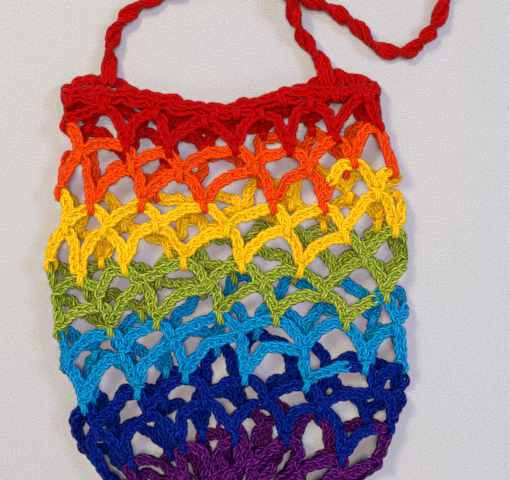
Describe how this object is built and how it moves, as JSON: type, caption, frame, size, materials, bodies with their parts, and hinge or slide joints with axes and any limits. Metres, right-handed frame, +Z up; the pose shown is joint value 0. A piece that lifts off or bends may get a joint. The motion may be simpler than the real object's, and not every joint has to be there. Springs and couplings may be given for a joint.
{
  "type": "crochet bag",
  "caption": "Openwork crochet shoulder bag in rainbow bands of chain arches, lying flat and hollow, with a dense rim, a dense base and a twisting crocheted strap.",
  "frame": {"origin": "middle of the bag's outline on the surface it lies on, the strap left out", "axes": "+X across the bag to the right, +Y from the folded base towards the mouth, +Z up from the surface"},
  "size_m": [0.2089, 0.4044, 0.0168],
  "materials": {
    "yarn_red": "soft plied cotton, slight sheen",
    "yarn_orange": "soft plied cotton, slight sheen",
    "yarn_yellow": "soft plied cotton, slight sheen",
    "yarn_green": "soft plied cotton, slight sheen",
    "yarn_sky": "soft plied cotton, slight sheen",
    "yarn_blue": "soft plied cotton, slight sheen",
    "yarn_purple": "soft plied cotton, slight sheen"
  },
  "bodies": {
    "root": {"rim": "yarn_red", "band_red": "yarn_red", "band_orange": "yarn_orange", "band_yellow": "yarn_yellow", "band_green": "yarn_green", "band_sky": "yarn_sky", "band_blue": "yarn_blue", "band_purple": "yarn_purple", "base": "yarn_purple", "strap": "yarn_red"}
  },
  "joints": []
}
